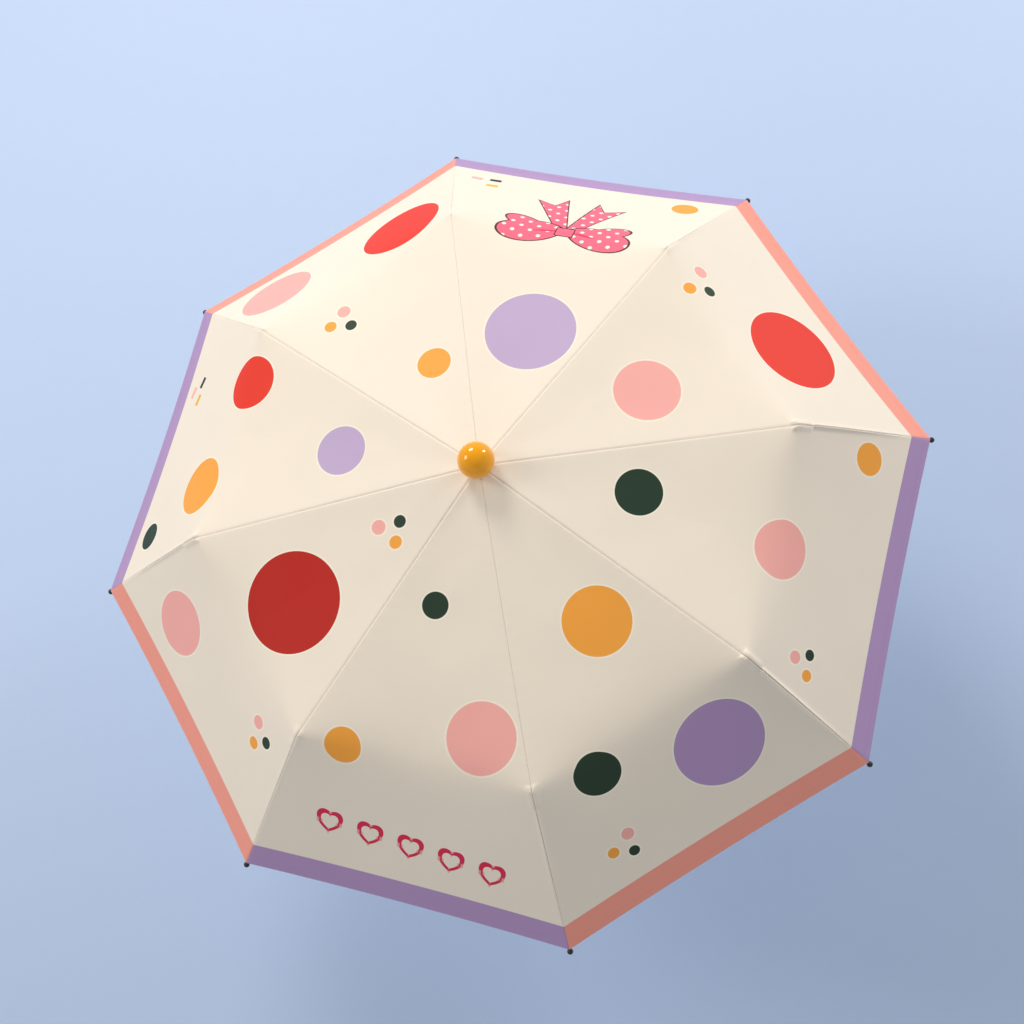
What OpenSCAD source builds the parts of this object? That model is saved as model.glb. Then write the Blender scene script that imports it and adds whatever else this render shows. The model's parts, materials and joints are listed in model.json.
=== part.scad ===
// Children's three-fold umbrella, open: a canopy of eight gores on eight jointed ribs,
// a runner with its struts, a shaft of three telescoping tubes, a straight handle and a
// round ball on top. Z runs up the shaft, and the origin is the centre of the handle's
// flat bottom end. The first rib points along +X, and the ribs are counted anticlockwise
// as seen from above. Each rib folds in three: the top rib swings down, the middle rib
// swings out and up, and the outer rib swings down again outside it.

/* [Ribs] */
// Length of the top rib, from the crown wire to the first fold pin
top_rib_len = 151; // [140:1:185]
// Length of the middle rib, from the first fold pin to the knee pin
middle_rib_len = 150; // [120:1:185]
// Length of the outer rib, from the knee pin to the root of its ball tip
outer_rib_len = 171; // [130:1:210]
// Slope of the top and middle ribs below level, open
inner_slope = 9.5; // [7:0.5:14]
// Slope of the outer rib below level, open
outer_slope = 39; // [30:1:50]
// Slope of the top rib below level, closed
closed_slope = 87; // [85:0.5:88]
// Outside width of the rib channels
channel_w = 3; // [2.6:0.1:3.4]
// Depth of the rib channels
channel_h = 3; // [2.6:0.1:3.2]
// Wall of the rib channels
channel_wall = 0.5; // [0.4:0.05:0.7]
// Radius of the ball on each rib tip
tip_ball_r = 3; // [2:0.1:4]

/* [Struts and links] */
// Distance of the strut's pin from the crown wire, along the top rib
strut_pin_at = 78; // [66:1:86]
// Thickness of the strut's side plates and of the fold cheeks
plate_t = 0.8; // [0.6:0.05:1]
// Height of the strut
strut_h = 2.8; // [2.4:0.1:3]
// Distance of the link wire from the strut's pin
link_arm = 10; // [9:0.5:12]
// Radius of the link wire
link_wire_r = 0.7; // [0.5:0.05:0.8]
// Radius of every fold pin
pin_r = 0.8; // [0.6:0.05:0.9]
// Radial clearance of a pin in its hole
pin_clear = 0.05; // [0.03:0.01:0.08]
// Gap between plates that pass each other
side_gap = 0.2; // [0.15:0.05:0.3]

/* [Crown] */
// Distance of the rib and strut pins outside the runner's sleeve
pivot_out = 1.8; // [1.6:0.05:2.2]
// Width of the crown's notched rim outside the rib pins
crown_rim = 3.5; // [3:0.1:4.5]
// Depth of the crown below the rib pins
crown_below = 4.5; // [4:0.1:5]
// Height of the crown above the rib pins
crown_above = 1.3; // [1.1:0.1:1.4]
// Radius of the crown wire
crown_wire_r = 0.6; // [0.5:0.05:0.7]

/* [Runner] */
// Wall of the runner's sleeve
sleeve_wall = 1.65; // [1.4:0.05:1.8]
// Length of the runner's sleeve below the strut pins
sleeve_below = 16; // [12:1:24]
// Height of the runner's sleeve above the strut pins
sleeve_above = 9; // [5:0.5:14]
// Width of the runner's notched rim outside the strut pins
runner_rim = 3.5; // [3:0.1:4]
// Width of the notches for ribs and struts
notch_w = 2.2; // [2:0.1:2.4]

/* [Shaft] */
// Outside radius of the upper tube
upper_tube_r = 6.5; // [6.3:0.1:6.8]
// Step in radius from each tube to the next
tube_step = 0.8; // [0.7:0.05:0.9]
// Wall of the tubes
tube_wall = 0.5; // [0.4:0.05:0.55]
// Length by which two drawn-out tubes still overlap
tube_lap = 26; // [20:1:40]
// Length of the grip of a tube's guide collar
collar_grip = 7; // [5:0.5:10]
// Radial clearance of a slide
slide_clear = 0.05; // [0.03:0.01:0.09]

/* [Handle] */
// Length of the handle
handle_len = 50; // [40:1:80]
// Radius of the handle's grip
handle_r = 13; // [12:0.5:16]
// Radius of the handle's top flange
flange_r = 16; // [14.5:0.5:18]
// Radius of the handle's rounded edges
handle_round = 2.5; // [1.5:0.1:3]
// Radius of the cap in the handle's end
end_cap_r = 9; // [8:0.1:10]

/* [Canopy] */
// Thickness of the fabric
fabric_t = 0.4; // [0.3:0.05:0.6]
// Gap between the fabric and the top of the ribs' fold eyes
fabric_gap = 0.4; // [0.3:0.05:0.6]
// Radius of the hole at the middle of the canopy
canopy_hole_r = 5; // [4.5:0.1:6]
// Radius of the ball on top
ball_r = 17.8; // [14:0.1:22]
// Radius of the ball's flat base
ball_base_r = 11; // [9:0.5:13]

/* [Hidden] */
rib_count = 8;
rib_turn = 360 / rib_count;
ribs = [1 : rib_count];

$fn = 48;

black = "#26262a";
steel = "#b9bcc0";
yellow = "#f2a91c";
cream = "#f4ecdc";

// Ribs. In a rib's own frame, x runs outwards along it and z is its upper side.
eye_r = pin_r + 1;
web_z = -0.4;
channel_z = web_z - channel_h;
cheek_in = channel_w / 2 + side_gap;
cheek_out = cheek_in + plate_t;
eye_reach = 7;
block_in = 5;
block_out = 8;
pin_hole_r = pin_r + pin_clear;
head_in = cheek_out + 0.1;
head_out = head_in + 0.5;

// The struts make equal arms with the top ribs, so the strut pins stay on the same
// upright line as the rib pins.
strut_pin_z = -2;
arm = norm([strut_pin_at, strut_pin_z]);
arm_droop = atan(-strut_pin_z / strut_pin_at);
runner_drop_open = 2 * arm * sin(inner_slope + arm_droop);
runner_drop_closed = 2 * arm * sin(closed_slope + arm_droop);
strut_lean = 180 + 2 * inner_slope + arm_droop;
rib_swing = closed_slope - inner_slope;

// The link wire keeps its direction along the top rib, while it turns the middle rib.
middle_swing = 176;
link_lean = 270 - rib_swing;
tail_arm = link_arm * sin(rib_swing) / sin(middle_swing / 2);
tail_lean = link_lean + rib_swing - middle_swing / 2;
link_y = cheek_out + 0.25 + link_wire_r;
link_leg_y = cheek_in - 0.08;
slot_r = link_wire_r + 0.04 * link_arm;
tail_r = slot_r + 0.8;
link_start = [strut_pin_at + link_arm * cos(link_lean), strut_pin_z + link_arm * sin(link_lean)];
link_end = [top_rib_len + tail_arm * cos(tail_lean), tail_arm * sin(tail_lean)];
slot_len = 0.175 * link_arm;

// Knee: the outer rib's pin lies under the middle rib, so that it folds underneath.
knee_z = channel_z - 0.4;
outer_web_z = channel_h + 0.4;

// Shaft
upper_bore_r = upper_tube_r - tube_wall;
sleeve_r = upper_tube_r + slide_clear + sleeve_wall;
pivot_r = sleeve_r + pivot_out;
crown_r = pivot_r + crown_rim;
runner_r = pivot_r + runner_rim;
middle_tube_r = upper_tube_r - tube_step;
lower_tube_r = middle_tube_r - tube_step;
collar_lip = 2;
collar_wall = 0.9;
collar_h = collar_lip + collar_grip;
crown_plug = 4;
upper_tube_len = runner_drop_closed + sleeve_below + 1.5 + collar_grip;
middle_tube_len = upper_tube_len + collar_h - crown_plug - 2;
lower_tube_out = middle_tube_len + collar_lip - 1;
tube_seat = 8;

handle_top = handle_len;
middle_bottom_closed = handle_top + 1 + collar_lip;
middle_travel = handle_top + lower_tube_out - tube_lap - middle_bottom_closed;
upper_bottom_closed = middle_bottom_closed + collar_grip + 0.5 + collar_lip;
upper_travel = middle_bottom_closed + middle_tube_len - tube_lap - upper_bottom_closed;
middle_bottom = middle_bottom_closed + middle_travel;
upper_bottom = upper_bottom_closed + middle_travel + upper_travel;
crown_z = upper_bottom + upper_tube_len;
runner_z = crown_z - runner_drop_open;

// Crown and runner
wire_hole_r = crown_wire_r + 0.1;
tongue_t = 1.6;
notch_in = sleeve_r + 0.15;
strut_pin_half = 2.4;
strut_pin_r = 0.75;
groove_in = pivot_r - strut_pin_r - 0.2;
groove_out = norm([pivot_r + strut_pin_r, strut_pin_half]) + 0.35;
runner_top = 3;
runner_under = 2.2;
narrow_len = 24;

// Canopy, as points [radius, height above the rib pins] along a rib
// The fabric falls away from a rib on both sides, so it starts that much higher over it.
function side_fall(slope) = cheek_out * tan(rib_turn / 2) * sin(slope);
fabric_z = eye_r + fabric_gap + side_fall(inner_slope);
outer_fabric_z = outer_web_z + fabric_gap + side_fall(outer_slope);
bend = outer_slope - inner_slope;
knee_shift = (outer_fabric_z - (fabric_z - knee_z) * cos(bend)) / sin(bend);
function on_inner(x, z) = [
    pivot_r + x * cos(inner_slope) + z * sin(inner_slope),
    -x * sin(inner_slope) + z * cos(inner_slope)
];
top_reach = top_rib_len + middle_rib_len;
knee_pin = on_inner(top_reach, knee_z);
function on_outer(x, z) = [
    knee_pin[0] + x * cos(outer_slope) + z * sin(outer_slope),
    knee_pin[1] - x * sin(outer_slope) + z * cos(outer_slope)
];
fabric_knee = on_inner(top_reach + knee_shift, fabric_z);
fabric_tip = on_outer(outer_rib_len - 1, outer_fabric_z);
fabric_top = [
    canopy_hole_r,
    on_inner(0, fabric_z)[1] + (on_inner(0, fabric_z)[0] - canopy_hole_r) * tan(inner_slope)
];
washer_r = ball_base_r - 0.5;
ball_seat = sqrt(ball_r * ball_r - ball_base_r * ball_base_r);
washer_t = 1.2;
washer_z = crown_z + fabric_top[1] + fabric_t + 0.1;
ball_base = washer_z + washer_t;
stud_r = 3;
stud_top = ball_base + 12;

// ---- shared forms ----

// A flat plate between two values of y, drawn in the plane of the rib
module plate(y_low, y_high) {
    translate([0, y_high, 0])
        rotate([90, 0, 0])
            linear_extrude(height = y_high - y_low) children();
}

// A round pin along y
module cross_pin(x, z, r, y_low, y_high) {
    translate([x, y_high, z]) rotate([90, 0, 0]) cylinder(r = r, h = y_high - y_low);
}

// A channel that is open underneath, from x_low to x_high, with its web's top at z_top
module channel(x_low, x_high, z_top) {
    difference() {
        translate([x_low, -channel_w / 2, z_top - channel_h])
            cube([x_high - x_low, channel_w, channel_h]);
        translate([x_low - 1, -channel_w / 2 + channel_wall, z_top - channel_h - 1])
            cube([x_high - x_low + 2, channel_w - 2 * channel_wall, channel_h + 1 - channel_wall]);
    }
}

// A solid length that joins two cheeks to a channel
module channel_block(z_top) {
    translate([block_in, -cheek_out, z_top - channel_h])
        cube([block_out - block_in, 2 * cheek_out, channel_h]);
}

module at_rib(k) {
    rotate([0, 0, (k - 1) * rib_turn]) children();
}

module on_top_rib(k) {
    at_rib(k) translate([pivot_r, 0, crown_z]) rotate([0, inner_slope, 0]) children();
}

module on_outer_rib(k) {
    at_rib(k) translate([knee_pin[0], 0, crown_z + knee_pin[1]])
        rotate([0, outer_slope, 0]) children();
}

// ---- handle and shaft ----

module handle_grip() {
    flange_h = 5;
    color(yellow) difference() {
        union() {
            rotate_extrude($fn = 96) {
                translate([0, handle_round]) square([handle_r, handle_len - handle_round]);
                square([handle_r - handle_round, handle_round + 1]);
                translate([handle_r - handle_round, handle_round]) circle(r = handle_round);
            }
            translate([0, 0, handle_len - flange_h]) rotate_extrude($fn = 96) {
                square([flange_r - flange_h / 2, flange_h]);
                translate([flange_r - flange_h / 2, flange_h / 2]) circle(r = flange_h / 2);
            }
        }
        translate([0, 0, -1]) cylinder(r = end_cap_r, h = 4);
        translate([0, 0, tube_seat]) cylinder(r = lower_tube_r, h = handle_len);
    }
}

module handle_end_cap() {
    color(yellow) cylinder(r = end_cap_r - 0.02, h = 2.9);
}

// An open tube from z_low upwards
module tube(r, z_low, h) {
    color(steel) translate([0, 0, z_low]) difference() {
        cylinder(r = r, h = h, $fn = 72);
        translate([0, 0, -1]) cylinder(r = r - tube_wall, h = h + 2, $fn = 72);
    }
}

// A guide collar that grips the foot of one tube and slides on the next
module guide_collar(r_tube, z_foot) {
    color(black) translate([0, 0, z_foot - collar_lip]) difference() {
        cylinder(r = r_tube + collar_wall, h = collar_h, $fn = 72);
        translate([0, 0, collar_lip]) cylinder(r = r_tube, h = collar_h, $fn = 72);
        translate([0, 0, -1])
            cylinder(r = r_tube - tube_step + slide_clear, h = collar_h, $fn = 72);
    }
}

module lower_tube() {
    tube(lower_tube_r, tube_seat, handle_top - tube_seat + lower_tube_out);
}

module middle_tube() {
    tube(middle_tube_r, middle_bottom, middle_tube_len);
}

module middle_tube_collar() {
    guide_collar(middle_tube_r, middle_bottom);
}

module upper_tube() {
    tube(upper_tube_r, upper_bottom, upper_tube_len);
}

module upper_tube_collar() {
    guide_collar(upper_tube_r, upper_bottom);
}

// ---- crown, runner and ball ----

// Notches for all the ribs, cut right through
module notches(r_low, r_high, z_low, z_high) {
    for (k = ribs) at_rib(k)
        translate([r_low, -notch_w / 2, z_low]) cube([r_high - r_low, notch_w, z_high - z_low]);
}

// A ring of square section
module ring(r_low, r_high, z_low, z_high) {
    translate([0, 0, z_low]) difference() {
        cylinder(r = r_high, h = z_high - z_low, $fn = 96);
        translate([0, 0, -1]) cylinder(r = r_low, h = z_high - z_low + 2, $fn = 96);
    }
}

module crown() {
    color(black) translate([0, 0, crown_z]) {
        difference() {
            ring(upper_tube_r, crown_r, -crown_below, crown_above);
            ring(pivot_r - crown_wire_r - 0.05, pivot_r + crown_wire_r + 0.05,
                -crown_wire_r - 0.05, crown_above + 1);
            notches(notch_in, crown_r + 1, -crown_below - 1, crown_above + 1);
        }
        translate([0, 0, -crown_plug]) cylinder(r = upper_bore_r, h = crown_plug, $fn = 72);
        cylinder(r = upper_tube_r + 0.2, h = crown_above, $fn = 72);
        cylinder(r = stud_r, h = stud_top - crown_z);
    }
}

module crown_wire() {
    color(steel) translate([0, 0, crown_z]) rotate_extrude($fn = 96)
        translate([pivot_r, 0]) circle(r = crown_wire_r);
}

module runner() {
    color(black) translate([0, 0, runner_z]) difference() {
        union() {
            ring(upper_tube_r + slide_clear, sleeve_r, -sleeve_below, sleeve_above);
            ring(upper_tube_r + slide_clear, runner_r, -runner_under, runner_top);
        }
        ring(groove_in, groove_out, -runner_under - 1, strut_pin_r + 0.35);
        notches(notch_in, runner_r + 1, -runner_under - 1, runner_top + 1);
    }
}

module canopy_washer() {
    color(black) translate([0, 0, washer_z]) difference() {
        cylinder(r = washer_r, h = washer_t);
        translate([0, 0, -1]) cylinder(r = stud_r, h = washer_t + 2);
    }
}

module ferrule_ball() {
    color(yellow) translate([0, 0, ball_base]) difference() {
        translate([0, 0, ball_seat]) sphere(r = ball_r, $fn = 96);
        translate([-2 * ball_r, -2 * ball_r, -2 * ball_r]) cube([4 * ball_r, 4 * ball_r, 2 * ball_r]);
        translate([0, 0, -1]) cylinder(r = stud_r, h = stud_top - ball_base + 1);
    }
}

// ---- rib linkage ----

module top_rib(k) {
    last = top_rib_len - eye_reach;
    color(black) on_top_rib(k) {
        channel(eye_reach, last, web_z);
        difference() {
            plate(-tongue_t / 2, tongue_t / 2) {
                circle(r = 1.5);
                polygon([[0, 1.3], [eye_reach + 2, web_z], [eye_reach + 2, channel_z + 0.4],
                    [eye_reach, channel_z + 0.4], [crown_below + 0.6, -1.3], [0, -1.3]]);
            }
            cross_pin(0, 0, wire_hole_r, -tongue_t, tongue_t);
        }
        difference() {
            plate(-channel_w / 2, channel_w / 2) {
                translate([top_rib_len, 0]) circle(r = eye_r);
                polygon([[last - 2, channel_z], [last - 2, web_z], [top_rib_len - 4.5, web_z],
                    [top_rib_len - 0.8, eye_r - 0.3], [top_rib_len + 0.5, -eye_r + 0.2],
                    [top_rib_len - 3, channel_z]]);
            }
            cross_pin(top_rib_len, 0, pin_hole_r, -channel_w, channel_w);
        }
        cross_pin(strut_pin_at, strut_pin_z, pin_r, -head_out, cheek_out);
        cross_pin(strut_pin_at, strut_pin_z, pin_r + 0.6, -head_out, -head_in);
    }
}

module strut(k) {
    link_turn = link_lean - strut_lean;
    ear = [link_arm * cos(link_turn), link_arm * sin(link_turn)];
    block_x = arm - narrow_len - 8;
    color(black) on_top_rib(k) translate([strut_pin_at, 0, strut_pin_z]) rotate([0, -strut_lean, 0]) {
        for (side = [-1, 1]) difference() {
            plate(side > 0 ? cheek_in : -cheek_out, side > 0 ? cheek_out : -cheek_in) {
                circle(r = eye_r + 0.2);
                translate([0, -strut_h / 2]) square([block_x + 1, strut_h]);
                if (side > 0) translate(ear) circle(r = link_wire_r + 1.1);
            }
            cross_pin(0, 0, pin_hole_r, -cheek_out - 1, cheek_out + 1);
            cross_pin(ear[0], ear[1], link_wire_r + pin_clear, cheek_in - 1, cheek_out + 1);
        }
        translate([block_x, -cheek_out, -strut_h / 2]) cube([8, 2 * cheek_out, strut_h]);
        plate(-tongue_t / 2, tongue_t / 2) {
            translate([block_x + 4, -strut_h / 2]) square([arm - block_x - 4, strut_h]);
            translate([arm, 0]) circle(r = 1.5);
        }
        cross_pin(arm, 0, strut_pin_r, -strut_pin_half, strut_pin_half);
    }
}

module link_wire(k) {
    run = link_end - link_start;
    color(steel) on_top_rib(k) {
        translate([link_start[0], link_y, link_start[1]])
            rotate([0, atan2(run[0], run[1]), 0]) cylinder(r = link_wire_r, h = norm(run));
        for (p = [link_start, link_end]) {
            cross_pin(p[0], p[1], link_wire_r, link_leg_y, link_y);
            translate([p[0], link_y, p[1]]) sphere(r = link_wire_r);
        }
    }
}

module middle_rib(k) {
    last = middle_rib_len - eye_reach;
    color(black) on_top_rib(k) translate([top_rib_len, 0, 0]) {
        for (side = [-1, 1])
            plate(side > 0 ? cheek_in : -cheek_out, side > 0 ? cheek_out : -cheek_in) {
                circle(r = eye_r);
                polygon([[-0.5, -eye_r + 0.1], [0.5, eye_r - 0.1], [4.5, web_z],
                    [block_in + 1, web_z], [block_in + 1, channel_z], [3, channel_z]]);
            }
        cross_pin(0, 0, pin_r, -head_out, cheek_out);
        cross_pin(0, 0, pin_r + 0.6, -head_out, -cheek_out);
        plate(cheek_in, cheek_out) rotate(tail_lean) difference() {
            union() {
                translate([0, -tail_r]) square([tail_arm, 2 * tail_r]);
                translate([tail_arm, 0]) circle(r = tail_r);
            }
            translate([tail_arm, 0]) circle(r = slot_r);
            translate([tail_arm - slot_len, 0]) circle(r = slot_r);
            translate([tail_arm - slot_len, -slot_r]) square([slot_len, 2 * slot_r]);
        }
        channel_block(web_z);
        channel(block_out - 1, last, web_z);
        difference() {
            plate(-channel_w / 2, channel_w / 2) {
                translate([middle_rib_len, knee_z]) circle(r = eye_r);
                polygon([[last - 2, channel_z], [last - 2, web_z], [middle_rib_len - 1, web_z],
                    [middle_rib_len + eye_r - 0.2, knee_z + 0.5],
                    [middle_rib_len - 1, knee_z - eye_r + 0.2], [middle_rib_len - 3.5, channel_z]]);
            }
            cross_pin(middle_rib_len, knee_z, pin_hole_r, -channel_w, channel_w);
        }
    }
}

module outer_rib(k) {
    tip_sleeve_r = 1.6;
    tip_sleeve_len = 11;
    tip_z = outer_web_z - channel_h / 2;
    color(black) on_outer_rib(k) {
        for (side = [-1, 1])
            plate(side > 0 ? cheek_in : -cheek_out, side > 0 ? cheek_out : -cheek_in) {
                circle(r = eye_r);
                polygon([[0.5, -eye_r + 0.1], [-0.5, eye_r - 0.1], [3, outer_web_z],
                    [block_in + 1, outer_web_z], [block_in + 1, outer_web_z - channel_h],
                    [4.5, outer_web_z - channel_h]]);
            }
        cross_pin(0, 0, pin_r, -head_in - 0.3, head_in + 0.3);
        channel_block(outer_web_z);
        channel(block_out - 1, outer_rib_len - tip_sleeve_len, outer_web_z);
        translate([outer_rib_len - tip_sleeve_len, 0, tip_z]) rotate([0, 90, 0])
            cylinder(r = tip_sleeve_r, h = tip_sleeve_len + tip_ball_r);
        translate([outer_rib_len + tip_ball_r, 0, tip_z]) sphere(r = tip_ball_r);
    }
}

// ---- canopy ----

// One gore between rib k and the next: flat to the knees and flat again to the hem
module canopy_panel(k) {
    half = rib_turn / 2;
    seam_gap = 0.1;
    rows = [fabric_top, fabric_knee, fabric_tip];
    points = [
        for (t = [0, fabric_t]) for (row = rows) for (side = [-1, 1])
            [row[0] * cos(half), side * (row[0] * sin(half) - seam_gap), row[1] + t]
    ];
    faces = [
        [0, 2, 3, 1], [2, 4, 5, 3],
        [6, 7, 9, 8], [8, 9, 11, 10],
        [0, 1, 7, 6], [4, 10, 11, 5],
        [0, 6, 8, 2], [2, 8, 10, 4],
        [1, 3, 9, 7], [3, 5, 11, 9]
    ];
    color(cream) translate([0, 0, crown_z]) rotate([0, 0, (k - 0.5) * rib_turn])
        polyhedron(points = points, faces = faces);
}

// ---- nodes ----

handle_grip();
handle_end_cap();
lower_tube();
middle_tube();
middle_tube_collar();
upper_tube();
upper_tube_collar();
crown();
crown_wire();
runner();
canopy_washer();
ferrule_ball();
for (k = ribs) top_rib(k);
for (k = ribs) strut(k);
for (k = ribs) link_wire(k);
for (k = ribs) middle_rib(k);
for (k = ribs) outer_rib(k);
for (k = ribs) canopy_panel(k);
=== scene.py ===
"""The looks of a children's folding umbrella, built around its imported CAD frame.

Lengths in the classes are millimetres unless a name says otherwise; meshes are in metres.
"""

import json
import logging
import math
from dataclasses import dataclass, field
from enum import Enum

import bpy
import numpy as np
from mathutils import Matrix, Vector


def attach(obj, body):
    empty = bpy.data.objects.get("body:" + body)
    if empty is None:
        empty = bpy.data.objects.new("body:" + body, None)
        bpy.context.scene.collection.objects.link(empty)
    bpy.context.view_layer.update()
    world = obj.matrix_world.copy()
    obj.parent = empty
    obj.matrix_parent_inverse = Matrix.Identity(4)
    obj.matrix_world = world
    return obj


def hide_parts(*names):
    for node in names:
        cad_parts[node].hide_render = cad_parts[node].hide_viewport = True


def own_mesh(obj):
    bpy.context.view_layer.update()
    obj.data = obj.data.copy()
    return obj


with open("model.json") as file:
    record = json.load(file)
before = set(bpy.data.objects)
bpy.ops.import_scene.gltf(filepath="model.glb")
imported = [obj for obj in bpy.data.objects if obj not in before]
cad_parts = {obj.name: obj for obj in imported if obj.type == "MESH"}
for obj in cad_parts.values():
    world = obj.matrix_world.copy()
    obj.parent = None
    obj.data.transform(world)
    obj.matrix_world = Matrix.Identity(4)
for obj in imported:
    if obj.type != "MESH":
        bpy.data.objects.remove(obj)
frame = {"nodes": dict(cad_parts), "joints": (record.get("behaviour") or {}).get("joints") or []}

LOG = logging.getLogger("umbrella")
MM = 0.001
RIBS = 8
TURN = 2 * math.pi / RIBS
HALF = TURN / 2


# ---- small helpers ----


def linear(colour: str) -> tuple[float, float, float, float]:
    """Turns an sRGB hex colour into the linear colour that a socket takes."""
    values = [int(colour[i : i + 2], 16) / 255 for i in (1, 3, 5)]
    out = [v / 12.92 if v <= 0.04045 else ((v + 0.055) / 1.055) ** 2.4 for v in values]
    return (out[0], out[1], out[2], 1.0)


def add_node(tree: bpy.types.NodeTree, kind: str, inputs: dict | None = None, **settings) -> bpy.types.Node:
    """Adds a node to a tree.

    Args:
        tree: the node tree.
        kind: the node's type name.
        inputs: values or sockets for its inputs, by name or index.
        settings: properties of the node.

    Returns:
        The new node.
    """
    new = tree.nodes.new(kind)
    for key, value in settings.items():
        setattr(new, key, value)
    for key, value in (inputs or {}).items():
        if isinstance(value, bpy.types.NodeSocket):
            tree.links.new(value, new.inputs[key])
        else:
            new.inputs[key].default_value = value
    return new


def smooth(x: np.ndarray, low: float, high: float) -> np.ndarray:
    """Rises smoothly from 0 at low to 1 at high.

    Args:
        x: where to read the curve.
        low: the value of x at which it leaves 0.
        high: the value of x at which it reaches 1.

    Returns:
        The curve's height at each x.
    """
    t = np.clip((x - low) / (high - low), 0, 1)
    return t * t * (3 - 2 * t)


def mesh_object(name: str, points: np.ndarray, faces: list[tuple[int, ...]],
                edges: list[tuple[int, int]] | None = None) -> bpy.types.Object:
    """Makes a mesh object at the origin and adds it to the scene.

    Args:
        name: the object's name.
        points: its points, in millimetres.
        faces: the points of each face.
        edges: loose edges, for a line.

    Returns:
        The object.
    """
    mesh = bpy.data.meshes.new(name)
    mesh.from_pydata((points * MM).tolist(), edges or [], faces)
    mesh.update()
    made = bpy.data.objects.new(name, mesh)
    bpy.context.scene.collection.objects.link(made)
    return made


def tube(path: np.ndarray, side: np.ndarray, radius: float, closed: bool = False,
         sides: int = 6) -> tuple[np.ndarray, list[tuple[int, ...]]]:
    """Makes a round tube along a flat path.

    Args:
        path: the points of the centreline.
        side: the direction square to the plane that the path lies in.
        radius: the tube's radius.
        closed: whether the path returns to its first point.
        sides: the number of faces around.

    Returns:
        The tube's points and its faces.
    """
    ahead = np.roll(path, -1, 0) - np.roll(path, 1, 0)
    if not closed:
        ahead[0], ahead[-1] = path[1] - path[0], path[-1] - path[-2]
    ahead /= np.linalg.norm(ahead, axis=1, keepdims=True)
    out = np.cross(ahead, side)
    turns = np.linspace(0, 2 * math.pi, sides, endpoint=False)
    cos, sin = np.cos(turns)[None, :, None], np.sin(turns)[None, :, None]
    rings = path[:, None] + radius * (cos * side + sin * out[:, None])
    count = len(path)
    faces = []
    for i in range(count if closed else count - 1):
        for j in range(sides):
            a, b = i * sides, (i + 1) % count * sides
            faces.append((a + j, a + (j + 1) % sides, b + (j + 1) % sides, b + j))
    if not closed:
        faces += [tuple(range(sides))[::-1], tuple(range((count - 1) * sides, count * sides))]
    return rings.reshape(-1, 3), faces


def joined(name: str, parts: list[tuple[np.ndarray, list[tuple[int, ...]]]],
           finish: bpy.types.Material) -> bpy.types.Object:
    """Makes one smooth mesh object from several lots of points and faces.

    Args:
        name: the object's name.
        parts: the lots, each its points in millimetres and its faces.
        finish: the material of all of it.

    Returns:
        The object.
    """
    points, faces, start = [], [], 0
    for lot, rings in parts:
        points.append(lot)
        faces += [tuple(start + i for i in ring) for ring in rings]
        start += len(lot)
    made = mesh_object(name, np.concatenate(points), faces)
    made.data.materials.append(finish)
    made.data.polygons.foreach_set("use_smooth", [True] * len(faces))
    made.data.set_sharp_from_angle(angle=math.radians(50))
    return made


# ---- finishes ----


@dataclass(frozen=True)
class Finish:
    """A surface finish with a fine grain on it.

    The grain is noise in object coordinates, whose size comes from its pitch in millimetres.
    """

    name: str
    colour: str
    roughness: float
    metallic: float = 0.0
    ior: float = 1.5
    coat: float = 0.0
    grain_mm: float = 1.0
    grain_depth_mm: float = 0.005
    grain_rough: float = 0.05
    stretch: tuple[float, float, float] = (1.0, 1.0, 1.0)
    shade: float = 0.06

    def build(self) -> bpy.types.Material:
        """Builds the material: a varied colour and roughness, and a bump."""
        material = bpy.data.materials.new(self.name)
        material.use_nodes = True
        tree = material.node_tree
        shader = tree.nodes["Principled BSDF"]
        base = linear(self.colour)
        shader.inputs["Metallic"].default_value = self.metallic
        shader.inputs["IOR"].default_value = self.ior
        shader.inputs["Coat Weight"].default_value = self.coat
        shader.inputs["Coat Roughness"].default_value = 0.06
        place = add_node(tree, "ShaderNodeTexCoord").outputs["Object"]
        scaled = add_node(tree, "ShaderNodeMapping", {"Vector": place, "Scale": self.stretch})
        grain = add_node(tree, "ShaderNodeTexNoise", {
            "Vector": scaled.outputs[0], "Scale": 1 / (self.grain_mm * MM), "Detail": 3.0})
        broad = add_node(tree, "ShaderNodeTexNoise", {
            "Vector": place, "Scale": 1 / (18 * MM), "Detail": 2.0})
        tint = add_node(tree, "ShaderNodeMapRange", {
            "Value": broad.outputs["Fac"], "To Min": 1 - self.shade, "To Max": 1 + self.shade})
        colour = add_node(tree, "ShaderNodeVectorMath", {
            0: base[:3], "Scale": tint.outputs[0]}, operation="SCALE")
        tree.links.new(colour.outputs[0], shader.inputs["Base Color"])
        rough = add_node(tree, "ShaderNodeMapRange", {
            "Value": grain.outputs["Fac"],
            "To Min": max(self.roughness - self.grain_rough, 0.02),
            "To Max": self.roughness + self.grain_rough})
        tree.links.new(rough.outputs[0], shader.inputs["Roughness"])
        bump = add_node(tree, "ShaderNodeBump", {
            "Height": grain.outputs["Fac"], "Distance": self.grain_depth_mm * MM, "Strength": 1.0})
        tree.links.new(bump.outputs[0], shader.inputs["Normal"])
        return material


class Prints(Enum):
    """The colours of the printed cloth; one of them is the print's red darkened as painted shade."""

    CREAM = "#F9F1E6"
    HALO = "#FFFBEF"
    CORAL = "#FCA698"
    PURPLE = "#B69ACF"
    LAVENDER = "#C6B2DE"
    RED = "#F03A28"
    # a darker copy of RED: painted shade for the big red dot on the fifth gore
    DEEP_RED = "#C01A0C"
    ORANGE = "#FFAF48"
    PINK = "#FFB9B6"
    GREEN = "#233C2E"
    BLACK = "#23211F"
    YELLOW = "#F2C22E"
    ROSE = "#FF7391"
    DEEP_ROSE = "#E23A62"
    OUTLINE = "#43222F"
    CRIMSON = "#E02656"
    WHITE = "#FFFDF8"


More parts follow.
